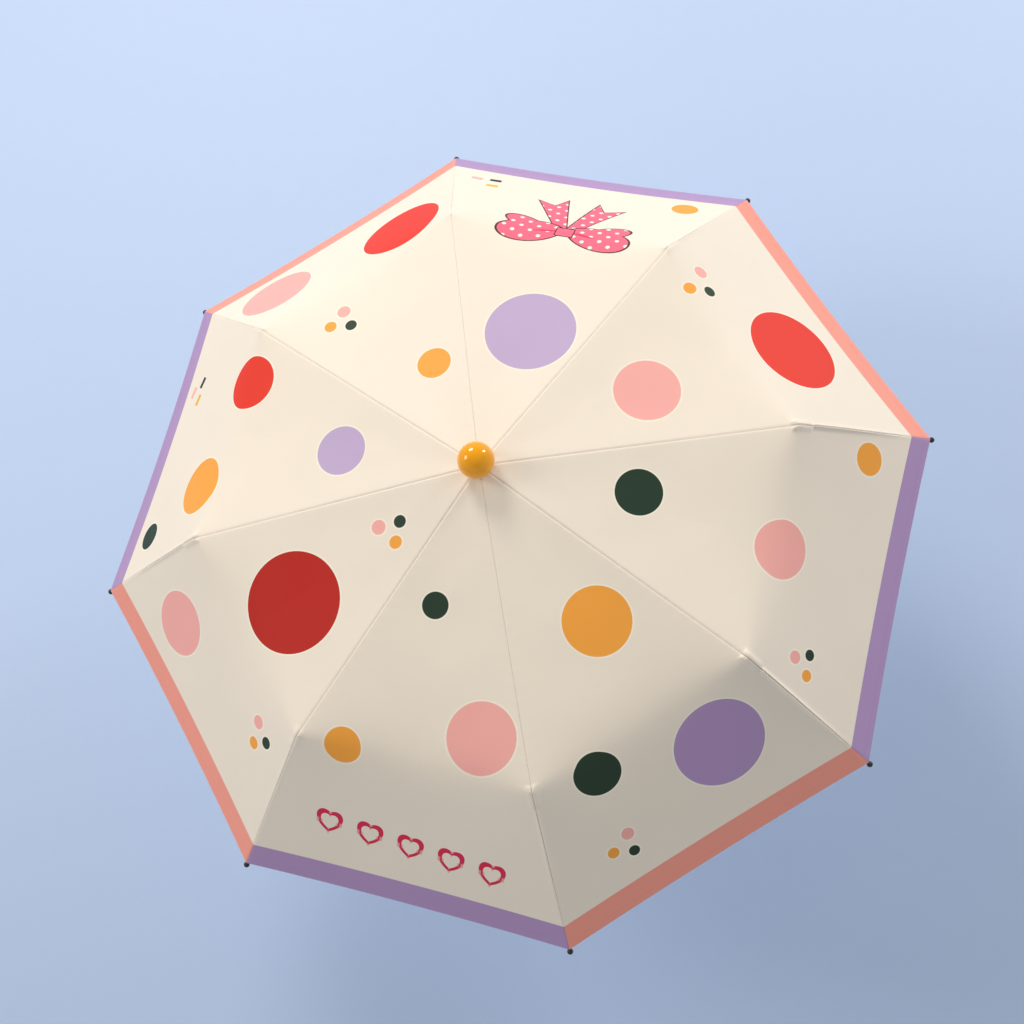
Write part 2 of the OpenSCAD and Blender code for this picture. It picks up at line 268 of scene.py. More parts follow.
@dataclass(frozen=True)
class Dot:
    """A printed dot with a pale rim, at (u, v) on the cut gore."""

    u: float
    v: float
    r: float
    colour: Prints


@dataclass(frozen=True)
class Dash:
    """A short printed stroke at (u, v)."""

    u: float
    v: float
    colour: Prints
    turn: float = 0.0
    length: float = 13.0
    width: float = 6.0


@dataclass(frozen=True)
class GorePrint:
    """What is printed on one gore, besides the cream ground."""

    border: Prints
    dots: tuple[Dot, ...] = ()
    dashes: tuple[Dash, ...] = ()
    bow: tuple[float, float] | None = None
    hearts: tuple[float, float, float] | None = None


def trio(a: tuple[float, float], b: tuple[float, float], c: tuple[float, float], dark: Prints,
         size: float = 6.6) -> tuple[Dot, ...]:
    """Three small dots together: a pink one, an orange one and a dark one."""
    return (Dot(*a, size * 1.1, Prints.PINK), Dot(*b, size, Prints.ORANGE), Dot(*c, size * 0.95, dark))


class Painter:
    """Paints flat shapes over a cloth colour, from the cloth's own flat coordinates."""

    def __init__(self, tree: bpy.types.NodeTree, ground: Prints) -> None:
        """Starts with the ground colour."""
        self.tree = tree
        uv = add_node(tree, "ShaderNodeUVMap", uv_map="flat").outputs[0]
        self.place = add_node(tree, "ShaderNodeVectorMath", {
            0: uv, 1: (1 / MM, 1 / MM, 0)}, operation="MULTIPLY").outputs[0]
        self.colour = add_node(tree, "ShaderNodeRGB").outputs[0]
        self.colour.default_value = linear(ground.value)

    def math(self, operation: str, *values, clamp: bool = False) -> bpy.types.NodeSocket:
        """One step of arithmetic."""
        inputs = dict(enumerate(values))
        return add_node(self.tree, "ShaderNodeMath", inputs, operation=operation, use_clamp=clamp).outputs[0]

    def vector(self, operation: str, *values) -> bpy.types.Node:
        """One step of vector arithmetic."""
        return add_node(self.tree, "ShaderNodeVectorMath", dict(enumerate(values)), operation=operation)

    def local(self, u: float, v: float, turn: float = 0.0, a: float = 1.0, b: float = 1.0) -> bpy.types.NodeSocket:
        """Coordinates of a shape at (u, v), turned by degrees, measured in its half sizes."""
        return add_node(self.tree, "ShaderNodeMapping", {
            "Vector": self.place, "Location": (u, v, 0), "Rotation": (0, 0, math.radians(turn)),
            "Scale": (a, b, 1)}, vector_type="TEXTURE").outputs[0]

    def inside(self, distance: bpy.types.NodeSocket, limit: float, sharp: float) -> bpy.types.NodeSocket:
        """1 where distance is below limit, with an edge as sharp as a print's."""
        return self.math("MULTIPLY_ADD", distance, -sharp, limit * sharp + 0.5, clamp=True)

    def lay(self, mask: bpy.types.NodeSocket, colour: Prints) -> None:
        """Lays a colour over what is there, where mask is 1."""
        mix = add_node(self.tree, "ShaderNodeMix", data_type="RGBA")
        self.tree.links.new(mask, mix.inputs[0])
        self.tree.links.new(self.colour, mix.inputs[6])
        mix.inputs[7].default_value = linear(colour.value)
        self.colour = mix.outputs[2]

    def dot(self, dot: Dot) -> None:
        """A dot in its pale rim."""
        away = self.vector("DISTANCE", self.place, (dot.u, dot.v, 0)).outputs["Value"]
        self.lay(self.inside(away, dot.r + 1.7, 3.0), Prints.HALO)
        self.lay(self.inside(away, dot.r, 3.0), dot.colour)

    def bar(self, place: bpy.types.NodeSocket, half: tuple[float, float], rim: float) -> bpy.types.NodeSocket:
        """Mask of a straight bar with half sizes in millimetres, made larger by rim."""
        over = self.vector("SUBTRACT", self.vector("ABSOLUTE", place).outputs[0], (half[0], half[1], 0))
        parts = add_node(self.tree, "ShaderNodeSeparateXYZ", {0: over.outputs[0]})
        return self.inside(self.math("MAXIMUM", parts.outputs[0], parts.outputs[1]), rim, 3.0)

    def ribbon(self, place: bpy.types.NodeSocket, half: float, length: float, rim: float) -> bpy.types.NodeSocket:
        """Mask of a ribbon end that widens along y to a notched end, made larger by rim."""
        parts = add_node(self.tree, "ShaderNodeSeparateXYZ", {0: self.vector("ABSOLUTE", place).outputs[0]})
        y = add_node(self.tree, "ShaderNodeSeparateXYZ", {0: place}).outputs[1]
        sides = self.math("SUBTRACT", parts.outputs[0], self.math("MULTIPLY_ADD", y, 0.13, half))
        end = self.math("SUBTRACT", self.math("MULTIPLY_ADD", parts.outputs[0], -1.0, y), length - 9)
        start = self.math("MULTIPLY_ADD", y, -1.0, -length)
        return self.inside(self.math("MAXIMUM", sides, self.math("MAXIMUM", end, start)), rim, 3.0)

    def dash(self, dash: Dash) -> None:
        """A short stroke."""
        place = self.local(dash.u, dash.v, dash.turn)
        self.lay(self.bar(place, (dash.length / 2, dash.width / 2), 0.0), dash.colour)

    def bow(self, u: float, v: float) -> None:
        """A ribbon bow with spotted loops, whose tails point to the hem.

        Args:
            u: the knot's place across the gore.
            v: the knot's place along the gore.
        """
        spots = self.vector("WRAP", self.local(u, v, 33), (6.5, 6.5, 1), (-6.5, -6.5, -1))
        spot = self.inside(self.vector("LENGTH", spots.outputs[0]).outputs["Value"], 2.3, 2.0)
        shapes = []
        for side in (-1, 1):
            tail = self.local(u + side * 17, v + 36, -side * 20)
            shapes.append([self.ribbon(tail, 10, 38, rim) for rim in (0.0, 1.3)])
        for side in (-1, 1):
            loop = self.local(u + side * 37, v - 5, -side * 13, 34, 19)
            bump = self.local(u + side * 47, v + 10, side * 22, 21, 11)
            for place, size in ((loop, 19), (bump, 11)):
                away = self.vector("LENGTH", place).outputs["Value"]
                shapes.append([self.inside(away, 1 + rim / size, size * 2.0) for rim in (0.0, 1.3)])
        for start in (0, 2):
            group = shapes[2:] if start else shapes[:2]
            fill, edge = group[0]
            for inner, outer in group[1:]:
                edge, fill = self.math("MAXIMUM", edge, outer), self.math("MAXIMUM", fill, inner)
            self.lay(edge, Prints.OUTLINE)
            self.lay(fill, Prints.ROSE)
            self.lay(self.math("MULTIPLY", fill, spot), Prints.WHITE)
            for side in (-1, 1) if start else ():
                pleat = self.local(u + side * 19, v - 3, -side * 13, 14, 1.6)
                away = self.vector("LENGTH", pleat).outputs["Value"]
                self.lay(self.inside(away, 1, 3.0), Prints.DEEP_ROSE)
        knot = self.local(u, v - 1)
        self.lay(self.bar(knot, (9, 8), 1.2), Prints.OUTLINE)
        self.lay(self.bar(knot, (9, 8), 0.0), Prints.ROSE)

    def hearts(self, u: float, v: float, turn: float) -> None:
        """A row of outlined hearts.

        Args:
            u: the row's middle, across the gore.
            v: the row's middle, along the gore.
            turn: the row's slant in degrees.
        """
        pitch, size = 42.0, 12.0
        row = self.local(u, v, turn)
        parts = add_node(self.tree, "ShaderNodeSeparateXYZ", {0: row})
        x = self.math("WRAP", parts.outputs[0], pitch / 2, -pitch / 2)
        in_row = self.math("LESS_THAN", self.math("ABSOLUTE", parts.outputs[0]), 2.5 * pitch)
        for scale, colour in ((size, Prints.CRIMSON), (size * 0.66, Prints.CREAM)):
            across = self.math("DIVIDE", x, scale)
            up = self.math("DIVIDE", parts.outputs[1], -scale)
            square = self.math("MULTIPLY", across, across)
            round_part = self.math("SUBTRACT", self.math("MULTIPLY_ADD", up, up, square), 1.0)
            cube = self.math("POWER", round_part, 3.0)
            lobe = self.math("MULTIPLY", square, self.math("POWER", up, 3.0))
            mask = self.inside(self.math("SUBTRACT", cube, lobe), 0.0, 30.0)
            self.lay(self.math("MULTIPLY", mask, in_row), colour)

    def border(self, hem: float, width: float, colour: Prints) -> None:
        """A coloured band along the hem."""
        v = add_node(self.tree, "ShaderNodeSeparateXYZ", {0: self.place}).outputs[1]
        self.lay(self.math("MULTIPLY_ADD", v, 4.0, -4.0 * (hem - width) + 0.5, clamp=True), colour)


@dataclass(frozen=True)
class ClothFinish:
    """Closely woven umbrella cloth with a smooth coating."""

    name: str
    thread_mm: float = 0.28
    roughness: float = 0.55
    sheen: float = 0.04
    veil: float = 0.0

    def build(self, prints: GorePrint, hem: float, border_width: float) -> bpy.types.Material:
        """Builds the cloth's material.

        Args:
            prints: what is printed on it.
            hem: the flat distance of the hem from the middle of the canopy.
            border_width: the width of the printed band along the hem.

        Returns:
            The material.
        """
        material = bpy.data.materials.new(self.name)
        material.use_nodes = True
        tree = material.node_tree
        shader = tree.nodes["Principled BSDF"]
        painter = Painter(tree, Prints.CREAM)
        for dot in prints.dots:
            painter.dot(dot)
        for dash in prints.dashes:
            painter.dash(dash)
        if prints.bow:
            painter.bow(*prints.bow)
        if prints.hearts:
            painter.hearts(*prints.hearts)
        painter.border(hem, border_width, prints.border)
        if self.veil:
            over = painter.math("ADD", 0.0, self.veil)
            painter.lay(over, Prints.CREAM)
        uv = add_node(tree, "ShaderNodeUVMap", uv_map="flat").outputs[0]
        cloud = add_node(tree, "ShaderNodeTexNoise", {"Vector": uv, "Scale": 1 / (60 * MM), "Detail": 3.0})
        tint = add_node(tree, "ShaderNodeMapRange", {"Value": cloud.outputs["Fac"], "To Min": 0.975, "To Max": 1.02})
        colour = add_node(tree, "ShaderNodeVectorMath", {
            0: painter.colour, "Scale": tint.outputs[0]}, operation="SCALE")
        tree.links.new(colour.outputs[0], shader.inputs["Base Color"])
        bands = [
            add_node(tree, "ShaderNodeTexWave", {"Vector": uv, "Scale": 2 * math.pi / (20 * self.thread_mm * MM)},
                     bands_direction=way).outputs["Fac"]
            for way in ("X", "Y")
        ]
        weave = painter.math("MULTIPLY", *bands)
        slub = add_node(tree, "ShaderNodeTexNoise", {"Vector": uv, "Scale": 1 / (4 * MM), "Detail": 2.0})
        height = painter.math("MULTIPLY_ADD", slub.outputs["Fac"], 0.6, weave)
        bump = add_node(tree, "ShaderNodeBump", {"Height": height, "Distance": 0.02 * MM, "Strength": 0.5})
        tree.links.new(bump.outputs[0], shader.inputs["Normal"])
        rough = add_node(tree, "ShaderNodeMapRange", {
            "Value": slub.outputs["Fac"], "To Min": self.roughness - 0.05, "To Max": self.roughness + 0.07})
        tree.links.new(rough.outputs[0], shader.inputs["Roughness"])
        shader.inputs["IOR"].default_value = 1.46
        shader.inputs["Specular IOR Level"].default_value = 0.35
        shader.inputs["Sheen Weight"].default_value = self.sheen
        shader.inputs["Sheen Roughness"].default_value = 0.4
        return material


# ---- canopy ----


class Zone(Enum):
    """The three lengths of a gore, each on its own section of the ribs."""

    INNER = "inner"
    MIDDLE = "middle"
    OUTER = "outer"

    @property
    def body(self) -> str:
        """The rib section's name without its number."""
        return {"inner": "top_rib", "middle": "middle_rib", "outer": "outer_rib"}[self.value]


class Side(Enum):
    """The half of a gore by the lower-numbered rib, or by the next one."""

    LEFT = -1
    RIGHT = 1


@dataclass
class CanopyForm:
    """The shape of the stretched canopy, from the CAD gores' corner points.

    Along a rib it follows the CAD rows. Between the ribs it sags a little, and the sharp bend
    over the knees runs out into a soft one.
    """

    thickness: float = 0.4
    sag: float = 2.6
    knee_soft: float = 9.0
    hem_bow: float = 2.5
    seam_dip: float = 0.55
    seam_width: float = 1.1
    pucker: float = 0.22
    knee_bumps: tuple[float, ...] = (2.4, 0.7, 0.5, 0.6, 1.5, 0.7, 0.9, 2.4)
    fins: tuple[float, ...] = (3.6, 0.8, 0.5, 0.5, 1.6, 0.6, 1.0, 3.6)
    rows: list[tuple[float, float]] = field(default_factory=list)
    fold_r: float = 0.0

    def __post_init__(self) -> None:
        """Reads the rows' radius and height from the first CAD gore, and the fold's from its joint."""
        corners = np.array([v.co for v in frame["nodes"]["canopy_panel_1"].data.vertices]) / MM
        radius = np.hypot(corners[:, 0], corners[:, 1])
        for near in (radius.min(), None, radius.max()):
            if near is None:
                picked = (radius > radius.min() + 20) & (radius < radius.max() - 20)
            else:
                picked = abs(radius - near) < 5
            self.rows.append((float(radius[picked].mean()), float(corners[picked, 2].max())))
        joint = next(j for j in frame["joints"] if j["name"] == "middle_rib_1_fold")
        self.fold_r = joint["pos_m"][0] / MM + 0.4

    @property
    def slopes(self) -> tuple[float, float]:
        """Rise over run of the inner and the outer length, along a rib."""
        (r0, z0), (r1, z1), (r2, z2) = self.rows
        return (z1 - z0) / (r1 - r0), (z2 - z1) / (r2 - r1)

    def span(self, zone: Zone) -> tuple[float, float]:
        """The radius along the rib at which a zone starts and ends."""
        ends = [self.rows[0][0], self.fold_r, self.rows[1][0], self.rows[2][0]]
        at = list(Zone).index(zone)
        return ends[at], ends[at + 1]

    def flat(self, r: np.ndarray, w: np.ndarray) -> tuple[np.ndarray, np.ndarray]:
        """Flat coordinates (u, v) on the cut gore of the point at radius r and share w of the half width."""
        inner, outer = (math.cos(HALF) * math.hypot(1, s / math.cos(HALF)) for s in self.slopes)
        knee = self.rows[1][0]
        v = np.minimum(r, knee) * inner + np.maximum(r - knee, 0) * outer
        return w * r * math.sin(HALF), v

    def point(self, r: np.ndarray, w: np.ndarray, gore: int, side: Side) -> np.ndarray:
        """Points of the cloth's outer surface in the row frame.

        Args:
            r: the radius along the rib.
            w: the share of the half width, 0 in the gore's middle and 1 at the rib.
            gore: the gore's number.
            side: the half of the gore.

        Returns:
            The points, in millimetres.
        """
        rib = (gore - 1 + (side is Side.RIGHT)) % RIBS
        (r0, z0), (r1, z1), (r2, _) = self.rows
        slope_in, slope_out = self.slopes
        across = np.maximum(1 - w * w, 0)
        span = smooth(r, r1, r2)
        r = r - self.hem_bow * across * span
        away = (1 - w) * r * math.sin(HALF)
        z_in, z_out = z0 + (r - r0) * slope_in, z1 + (r - r1) * slope_out
        soft = self.knee_soft * across
        z = (z_in + z_out) / 2 - np.sqrt(((z_in - z_out) / 2) ** 2 + soft**2)
        z = z - self.sag * across * smooth(r, 0, r1)
        z = z - self.seam_dip * np.exp(-((away / self.seam_width) ** 2))
        ripple = np.sin(r * 0.61 + rib * 1.7) * np.sin(r * 0.173 + gore * 2.1)
        z = z + self.pucker * ripple * np.exp(-away / 8) * smooth(away, 0, 3)
        waves = np.sin(r * 0.045 + gore * 1.3) * np.sin(3.2 * w + 0.02 * r + gore)
        z = z + 0.5 * waves * across * smooth(r, 40, 160)
        bump = smooth(r, r1 - 7, r1 - 3) * (1 - smooth(r, r1 + 12, r1 + 15))
        z = z + self.knee_bumps[rib] * bump * (1 - smooth(away, 3.6, 6.4)) * smooth(away, 0, 1.0)
        fin = smooth(r, r1 + 13, r1 + 17) * (1 - smooth(r, r1 + 30, r2))
        z = z + self.fins[rib] * fin * (1 - smooth(away, 0.9, 3.2)) * smooth(away, -0.6, 0.6)
        middle = (gore - 0.5) * TURN
        x = r * math.cos(HALF)
        y = side.value * w * (r * math.sin(HALF) - 0.12)
        return np.stack([x * math.cos(middle) - y * math.sin(middle),
                         x * math.sin(middle) + y * math.cos(middle), z], axis=-1)

    def normal(self, r: np.ndarray, w: np.ndarray, gore: int, side: Side) -> np.ndarray:
        """Outward unit normals of the outer surface."""
        along = self.point(r + 0.3, w, gore, side) - self.point(r - 0.3, w, gore, side)
        over = self.point(r, w + 0.002, gore, side) - self.point(r, w - 0.002, gore, side)
        out = np.cross(along, over) * side.value
        return out / np.linalg.norm(out, axis=-1, keepdims=True)


@dataclass(frozen=True)
class ClosedFold:
    """The flap that a zone would be flattened to once the ribs are folded in. The script reads these values but
    flattens no cloth.

    lean is the flap's angle from straight outwards, in degrees. inward is 1 where the cloth's
    outer side then faces the shaft. draw is how far the seam moves towards the shaft, in
    millimetres, and so also aside from the rib. The inner and middle rows were picked from a
    scratch program's scan, and the outer one by trial. Some of the outer flaps still cross.
    """

    lean: float
    inward: int
    draw: float


@dataclass
class Canopy:
    """The cloth: eight gores, each in two halves of three lengths that fold with the ribs."""

    form: CanopyForm
    prints: tuple[GorePrint, ...]
    border_width: float = 25.0
    hem_turn: float = 8.0
    columns: int = 24
    row_pitch: float = 3.2
    seam_extra: float = 0.25
    stitch_pitch: float = 2.7
    stitch_inset: float = 6.0
    folds: dict[Zone, ClosedFold] = field(default_factory=lambda: {
        Zone.INNER: ClosedFold(19.0, 0, 1.0),
        Zone.MIDDLE: ClosedFold(21.5, 1, 1.8),
        Zone.OUTER: ClosedFold(34.2, 0, 0.0)})

    def build(self) -> list[bpy.types.Object]:
        """Builds every piece of cloth and its hem stitches."""
        (_, hem) = self.form.flat(np.array(self.form.rows[2][0]), np.array(1.0))
        # spun polyester sewing thread, dyed like the band it crosses
        threads = {
            band: Finish(f"thread_{band.name.lower()}", band.value, 0.7, grain_mm=0.3, grain_depth_mm=0.02).build()
            for band in (Prints.CORAL, Prints.PURPLE)}
        stitcher = StitchRow()
        made = []
        for gore, printed in enumerate(self.prints, start=1):
            # coated pongee, printed on the outside; the print strikes through faintly to the inside
            cloth = ClothFinish(f"cloth_print_{gore}").build(printed, float(hem), self.border_width)
            lining = ClothFinish(f"cloth_inside_{gore}", roughness=0.7, veil=0.72).build(
                printed, float(hem), self.border_width)
            for side in Side:
                for zone in Zone:
                    piece = self.half(gore, side, zone, [cloth, lining])
                    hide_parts(f"canopy_panel_{gore}")
                    made.append(piece)
                stitches = stitcher.build(f"hem_stitches_{gore}_{side.name.lower()}", self.stitch_line(gore, side),
                                          self.stitch_pitch, threads[printed.border])
                self.attach(stitches, gore, side, Zone.OUTER)
                made.append(stitches)
        return made

    def row_radii(self, zone: Zone) -> np.ndarray:
        """Radii of a zone's rows, closer together where the shape changes fast."""
        low, high = self.form.span(zone)
        rows = list(np.linspace(low, high, max(int((high - low) / self.row_pitch), 4)))
        knee = self.form.rows[1][0]
        if zone is Zone.OUTER:
            rows += [knee + d for d in (1.5, 12, 13, 14, 15, 16, 17)]
            rows += [high - d for d in (self.hem_turn + 0.6, self.hem_turn, 1.0, 0.4)]
        if zone is Zone.MIDDLE:
            rows += [knee - d for d in (7, 6, 5, 4, 3, 1.5)]
        return np.unique(np.round(rows, 3))

    def half(self, gore: int, side: Side, zone: Zone, materials: list[bpy.types.Material]) -> bpy.types.Object:
        """Builds one zone of one half gore as two layers with closed edges, and puts it on its rib.

        Args:
            gore: the gore's number.
            side: the half of the gore.
            zone: the length of the gore.
            materials: the cloth's outer and inner material.

        Returns:
            The piece of cloth.
        """
        radii = self.row_radii(zone)
        r, q = np.meshgrid(radii, np.linspace(0, 1, self.columns), indexing="ij")
        w = 1 - q**2.0
        outer = self.form.point(r, w, gore, side)
        depth = self.form.thickness * (1 + smooth(r, radii[-1] - self.hem_turn - 0.5, radii[-1] - self.hem_turn)
                                       * (zone is Zone.OUTER))
        away = (1 - w) * r * math.sin(HALF)
        depth = depth + self.seam_extra * (1 - smooth(away, 4.4, 5.0)) * smooth(r, 22, 30)
        inner = outer - self.form.normal(r, w, gore, side) * depth[..., None]
        count, columns = r.shape
        total = count * columns

        def at(i: int, j: int, layer: int) -> int:
            """Number of the grid's vertex in a layer."""
            return layer * total + i * columns + j

        faces, layers = [], []
        turn = side is Side.LEFT
        for layer in (0, 1):
            for i in range(count - 1):
                for j in range(columns - 1):
                    ring = (at(i, j, layer), at(i + 1, j, layer), at(i + 1, j + 1, layer), at(i, j + 1, layer))
                    faces.append(ring[::-1] if (layer == 0) != turn else ring)
                    layers.append(layer)
        rim = [(i, 0) for i in range(count)] + [(count - 1, j) for j in range(1, columns)]
        rim += [(i, columns - 1) for i in range(count - 2, -1, -1)] + [(0, j) for j in range(columns - 2, 0, -1)]
        for (a, b), (c, d) in zip(rim, rim[1:] + rim[:1]):
            ring = (at(a, b, 0), at(a, b, 1), at(c, d, 1), at(c, d, 0))
            faces.append(ring[::-1] if turn else ring)
            layers.append(0)
        name = f"gore_{gore}_{side.name.lower()}_{zone.value}"
        piece = mesh_object(name, np.concatenate([outer.reshape(-1, 3), inner.reshape(-1, 3)]), faces)
        mesh = piece.data
        for material in materials:
            mesh.materials.append(material)
        mesh.polygons.foreach_set("material_index", layers)
        mesh.polygons.foreach_set("use_smooth", [True] * len(faces))
        u, v = self.form.flat(r, w)
        flat = np.tile(np.stack([side.value * u, v], -1).reshape(-1, 2) * MM, (2, 1))
        uv = mesh.uv_layers.new(name="flat")
        corners = np.zeros(len(mesh.loops), np.int32)
        mesh.loops.foreach_get("vertex_index", corners)
        uv.data.foreach_set("uv", flat[corners].astype(np.float32).ravel())
        mesh.set_sharp_from_angle(angle=math.radians(35))
        self.attach(piece, gore, side, zone)
        low, high = self.form.span(zone)
        f"{zone.body}_{self.rib(gore, side)}"
        return piece

    def rib(self, gore: int, side: Side) -> int:
        """The number of the rib that a half gore is sewn to."""
        return (gore - 1 + (side is Side.RIGHT)) % RIBS + 1

    def stitch_line(self, gore: int, side: Side) -> np.ndarray:
        """Points along the stitching of the hem, from rib to middle, just above the cloth."""
        w = np.linspace(0.985, 0, 60)
        r = np.full_like(w, self.form.rows[2][0] - self.stitch_inset)
        return self.form.point(r, w, gore, side) + 0.05 * self.form.normal(r, w, gore, side)

    def attach(self, piece: bpy.types.Object, gore: int, side: Side, zone: Zone) -> None:
        """Puts a piece on its rib section.

        Args:
            piece: the cloth or its stitches.
            gore: the gore's number.
            side: the half of the gore.
            zone: the length of the gore.
        """
        rib = self.rib(gore, side)
        angle = (rib - 1) * TURN
        out = Vector((math.cos(angle), math.sin(angle), 0))
        slope = math.atan(-self.form.slopes[zone is Zone.OUTER])
        normal = out * math.sin(slope) + Vector((0, 0, math.cos(slope)))
        fold = self.folds[zone]
        _, high = self.form.span(zone)
        lean = math.radians(fold.lean)
        way = 2 * fold.inward - 1
        (r0, z0), (r1, z1), _ = self.form.rows
        place = out * high + Vector((0, 0, z0 + (high - r0) * self.form.slopes[0]))
        if zone is Zone.OUTER:
            place = out * r1 + Vector((0, 0, z1))
        place = place + normal * way * fold.draw / math.sin(lean) ** 2
        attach(piece, f"{zone.body}_{rib}")
        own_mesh(piece)


@dataclass
class StitchRow:
    """A row of thread stitches laid along a line by geometry nodes."""

    length: float = 1.9
    width: float = 0.42

    def __post_init__(self) -> None:
        """Builds the node group once: line to points, a rounded stitch on each, made real."""
        tree = bpy.data.node_groups.new("stitch_row", "GeometryNodeTree")
        self.tree = tree
        face = tree.interface
        face.new_socket("Line", in_out="INPUT", socket_type="NodeSocketGeometry")
        self.pitch = face.new_socket("Pitch", in_out="INPUT", socket_type="NodeSocketFloat").identifier
        self.size = face.new_socket("Stitch size", in_out="INPUT", socket_type="NodeSocketVector").identifier
        self.finish = face.new_socket("Thread", in_out="INPUT", socket_type="NodeSocketMaterial").identifier
        face.new_socket("Stitches", in_out="OUTPUT", socket_type="NodeSocketGeometry")
        start = add_node(tree, "NodeGroupInput")
        curve = add_node(tree, "GeometryNodeMeshToCurve", {0: start.outputs["Line"]})
        points = add_node(tree, "GeometryNodeCurveToPoints", {
            "Curve": curve.outputs[0], "Length": start.outputs["Pitch"]}, mode="LENGTH")
        stitch = add_node(tree, "GeometryNodeMeshIcoSphere", {"Radius": 0.5, "Subdivisions": 1})
        spread = add_node(tree, "GeometryNodeInstanceOnPoints", {
            "Points": points.outputs["Points"], "Instance": stitch.outputs[0],
            "Rotation": points.outputs["Rotation"], "Scale": start.outputs["Stitch size"]})
        real = add_node(tree, "GeometryNodeRealizeInstances", {0: spread.outputs[0]})
        shown = add_node(tree, "GeometryNodeSetMaterial", {
            "Geometry": real.outputs[0], "Material": start.outputs["Thread"]})
        add_node(tree, "NodeGroupOutput", {0: shown.outputs[0]})

    def build(self, name: str, line: np.ndarray, pitch: float, thread: bpy.types.Material) -> bpy.types.Object:
        """Lays stitches along a line and returns them as one mesh.

        Args:
            name: the new object's name.
            line: the points of the line, in millimetres.
            pitch: the distance from stitch to stitch, in millimetres.
            thread: the thread's material.

        Returns:
            The object, with no modifier left on it.
        """
        guide = mesh_object(name + "_line", line, [], [(i, i + 1) for i in range(len(line) - 1)])
        rule = guide.modifiers.new("stitches", "NODES")
        rule.node_group = self.tree
        rule[self.pitch] = pitch * MM
        rule[self.size] = (self.width * MM, self.width * MM, self.length * MM)
        rule[self.finish] = thread
        bpy.context.view_layer.update()
        ready = guide.evaluated_get(bpy.context.evaluated_depsgraph_get())
        mesh = bpy.data.meshes.new_from_object(ready)
        guide.modifiers.clear()
        bpy.data.objects.remove(guide)
        mesh.name = name
        made = bpy.data.objects.new(name, mesh)
        bpy.context.scene.collection.objects.link(made)
        return made


# ---- frame, handle and ball ----


@dataclass(frozen=True)
class RibPlace:
    """A rib section's own frame: x outwards along it, y sideways, z on its upper side."""

    rib: int
    zone: Zone
    slope: float

    @property
    def body(self) -> str:
        """The CAD body that the section belongs to."""
        return f"{self.zone.body}_{self.rib}"

    def axes(self) -> np.ndarray:
        """The frame's x, y and z directions, as rows."""
        angle = (self.rib - 1) * TURN
        out = np.array([math.cos(angle), math.sin(angle), 0])
        c, s, up = math.cos(self.slope), math.sin(self.slope), np.array([0, 0, 1.0])
        return np.array([out * c - up * s, [-math.sin(angle), math.cos(angle), 0], out * s + up * c])

    def world(self, points: np.ndarray) -> np.ndarray:
        """Turns points of the section's frame into the row frame."""
        joint = next(j for j in frame["joints"] if j["child"] == self.body)
        return np.array(joint["pos_m"]) / MM + points @ self.axes()


